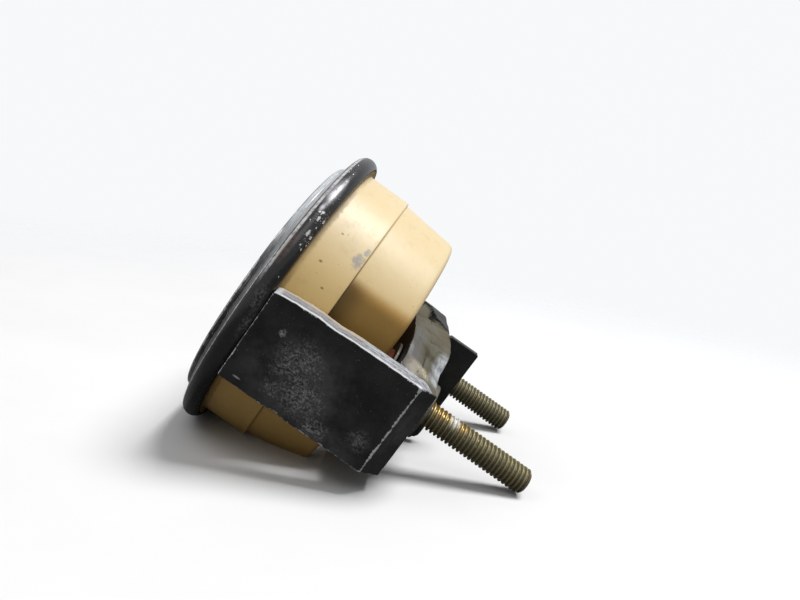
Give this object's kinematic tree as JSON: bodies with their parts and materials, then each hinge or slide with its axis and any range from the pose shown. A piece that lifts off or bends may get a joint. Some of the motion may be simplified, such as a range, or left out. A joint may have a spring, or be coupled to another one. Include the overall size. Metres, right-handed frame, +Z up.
{
  "type": "panel ammeter",
  "caption": "Round panel ammeter with a black bezel, cream case with flat sides, two threaded studs and a U clamp; a centre-zero pointer swings behind glass.",
  "frame": {"origin": "centre of the bezel's rear face, where it seats on the instrument panel", "axes": "+X along the instrument's axis, through the panel towards the studs; +Z up at twelve o'clock; the dial faces -X"},
  "size_m": [0.0572, 0.0572, 0.0572],
  "materials": {
    "black_enamel": "gloss, chipped",
    "glass": "polished",
    "gasket_rubber": "matte",
    "dial_black": "matte",
    "plain_steel": "dull",
    "brass": "satin",
    "cream_plastic": "semi-gloss, yellowed",
    "magnet_steel": "matte",
    "copper": "satin",
    "yellow_zinc": "dull, tarnished",
    "red_fibre": "matte",
    "pointer_white": "matte",
    "black_casting": "satin, scuffed",
    "bush_fibre": "matte"
  },
  "bodies": {
    "instrument": {"bezel": "black_enamel", "lens": "glass", "lens_gasket": "gasket_rubber", "spacer_ring": "dial_black", "dial_plate": "dial_black", "pointer_stops": "plain_steel", "dial_screws": "brass", "dial_spacers": "brass", "case_shell": "cream_plastic", "movement_base": "brass", "base_screws": "plain_steel", "pillars": "brass", "bridge": "brass", "front_bearing": "brass", "rear_bearing": "brass", "magnet": "magnet_steel", "conductor_bar": "copper", "near_stud": "yellow_zinc", "far_stud": "yellow_zinc", "stud_nuts": "plain_steel", "fibre_washers": "red_fibre"},
    "moving_set": {"pointer": "pointer_white", "pointer_hub": "dial_black", "staff": "plain_steel", "counterweight": "brass", "armature_vane": "plain_steel"},
    "clamp": {"clamp_bracket": "black_casting", "clamp_bushes": "bush_fibre", "stud_washer": "plain_steel"}
  },
  "joints": [
    {"name": "pointer_swing", "type": "hinge", "parent": "instrument", "child": "moving_set", "pos_m": [0, 0, -0.008], "axis": [1, 0, 0], "range_deg": [-40, 40], "stiffness_Nm_per_rad": 0.0002},
    {"name": "clamp_slide", "type": "slide", "parent": "instrument", "child": "clamp", "axis": [1, 0, 0], "range_m": [0, 0.012]}
  ]
}
